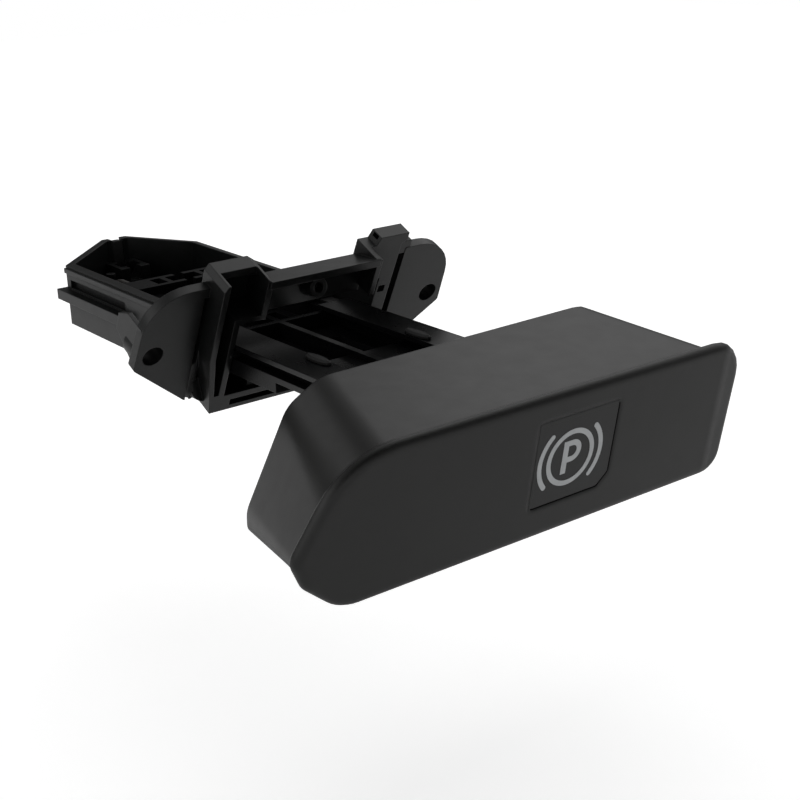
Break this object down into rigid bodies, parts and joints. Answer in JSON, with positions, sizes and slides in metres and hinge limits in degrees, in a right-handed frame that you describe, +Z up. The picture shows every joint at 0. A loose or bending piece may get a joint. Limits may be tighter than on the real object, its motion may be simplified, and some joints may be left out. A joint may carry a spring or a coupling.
{
  "type": "parking brake release handle",
  "caption": "Pull handle that releases a foot parking brake: hollow finger grip on a sprung slide, guided by a bracket with tilted fixing ears and a cable tray behind.",
  "frame": {"origin": "midway between the two fixing holes, on the plane of the ears' front faces", "axes": "-Y is the way the grip is pulled, +Y runs along the slide to the cable outlet, +Z is up, +X to the right seen from the driver's side"},
  "size_m": [0.1055, 0.1723, 0.0435],
  "materials": {
    "grip_black_abs": "fine satin grain",
    "symbol_plate_black": "smooth satin",
    "slide_black_acetal": "smooth moulded",
    "bracket_black_nylon": "glass-filled satin",
    "screw_black_zinc": "black zinc",
    "soft_pad_rubber": "matt",
    "spring_steel": "drawn wire"
  },
  "bodies": {
    "bracket": {"guide_bracket": "bracket_black_nylon", "cable_tray": "bracket_black_nylon", "tray_screw_1": "screw_black_zinc", "tray_screw_2": "screw_black_zinc", "tray_screw_3": "screw_black_zinc", "tray_screw_4": "screw_black_zinc", "rest_buffer_1": "soft_pad_rubber", "rest_buffer_2": "soft_pad_rubber", "return_spring": "spring_steel"},
    "handle": {"grip_cover": "grip_black_abs", "symbol_insert": "symbol_plate_black", "slide_carriage": "slide_black_acetal", "carriage_screw_1": "screw_black_zinc", "carriage_screw_2": "screw_black_zinc", "carriage_screw_3": "screw_black_zinc", "carriage_screw_4": "screw_black_zinc", "crosshead": "slide_black_acetal", "crosshead_screw_1": "screw_black_zinc", "crosshead_screw_2": "screw_black_zinc", "stop_buffer_1": "soft_pad_rubber", "stop_buffer_2": "soft_pad_rubber", "rattle_pad_left": "soft_pad_rubber", "rattle_pad_right": "soft_pad_rubber"}
  },
  "joints": [
    {"name": "handle_pull", "type": "slide", "parent": "bracket", "child": "handle", "axis": [0, -1, 0], "range_m": [0, 0.028], "stiffness_N_per_m": 250, "springref_m": -0.012, "deforming": ["return_spring"]}
  ]
}
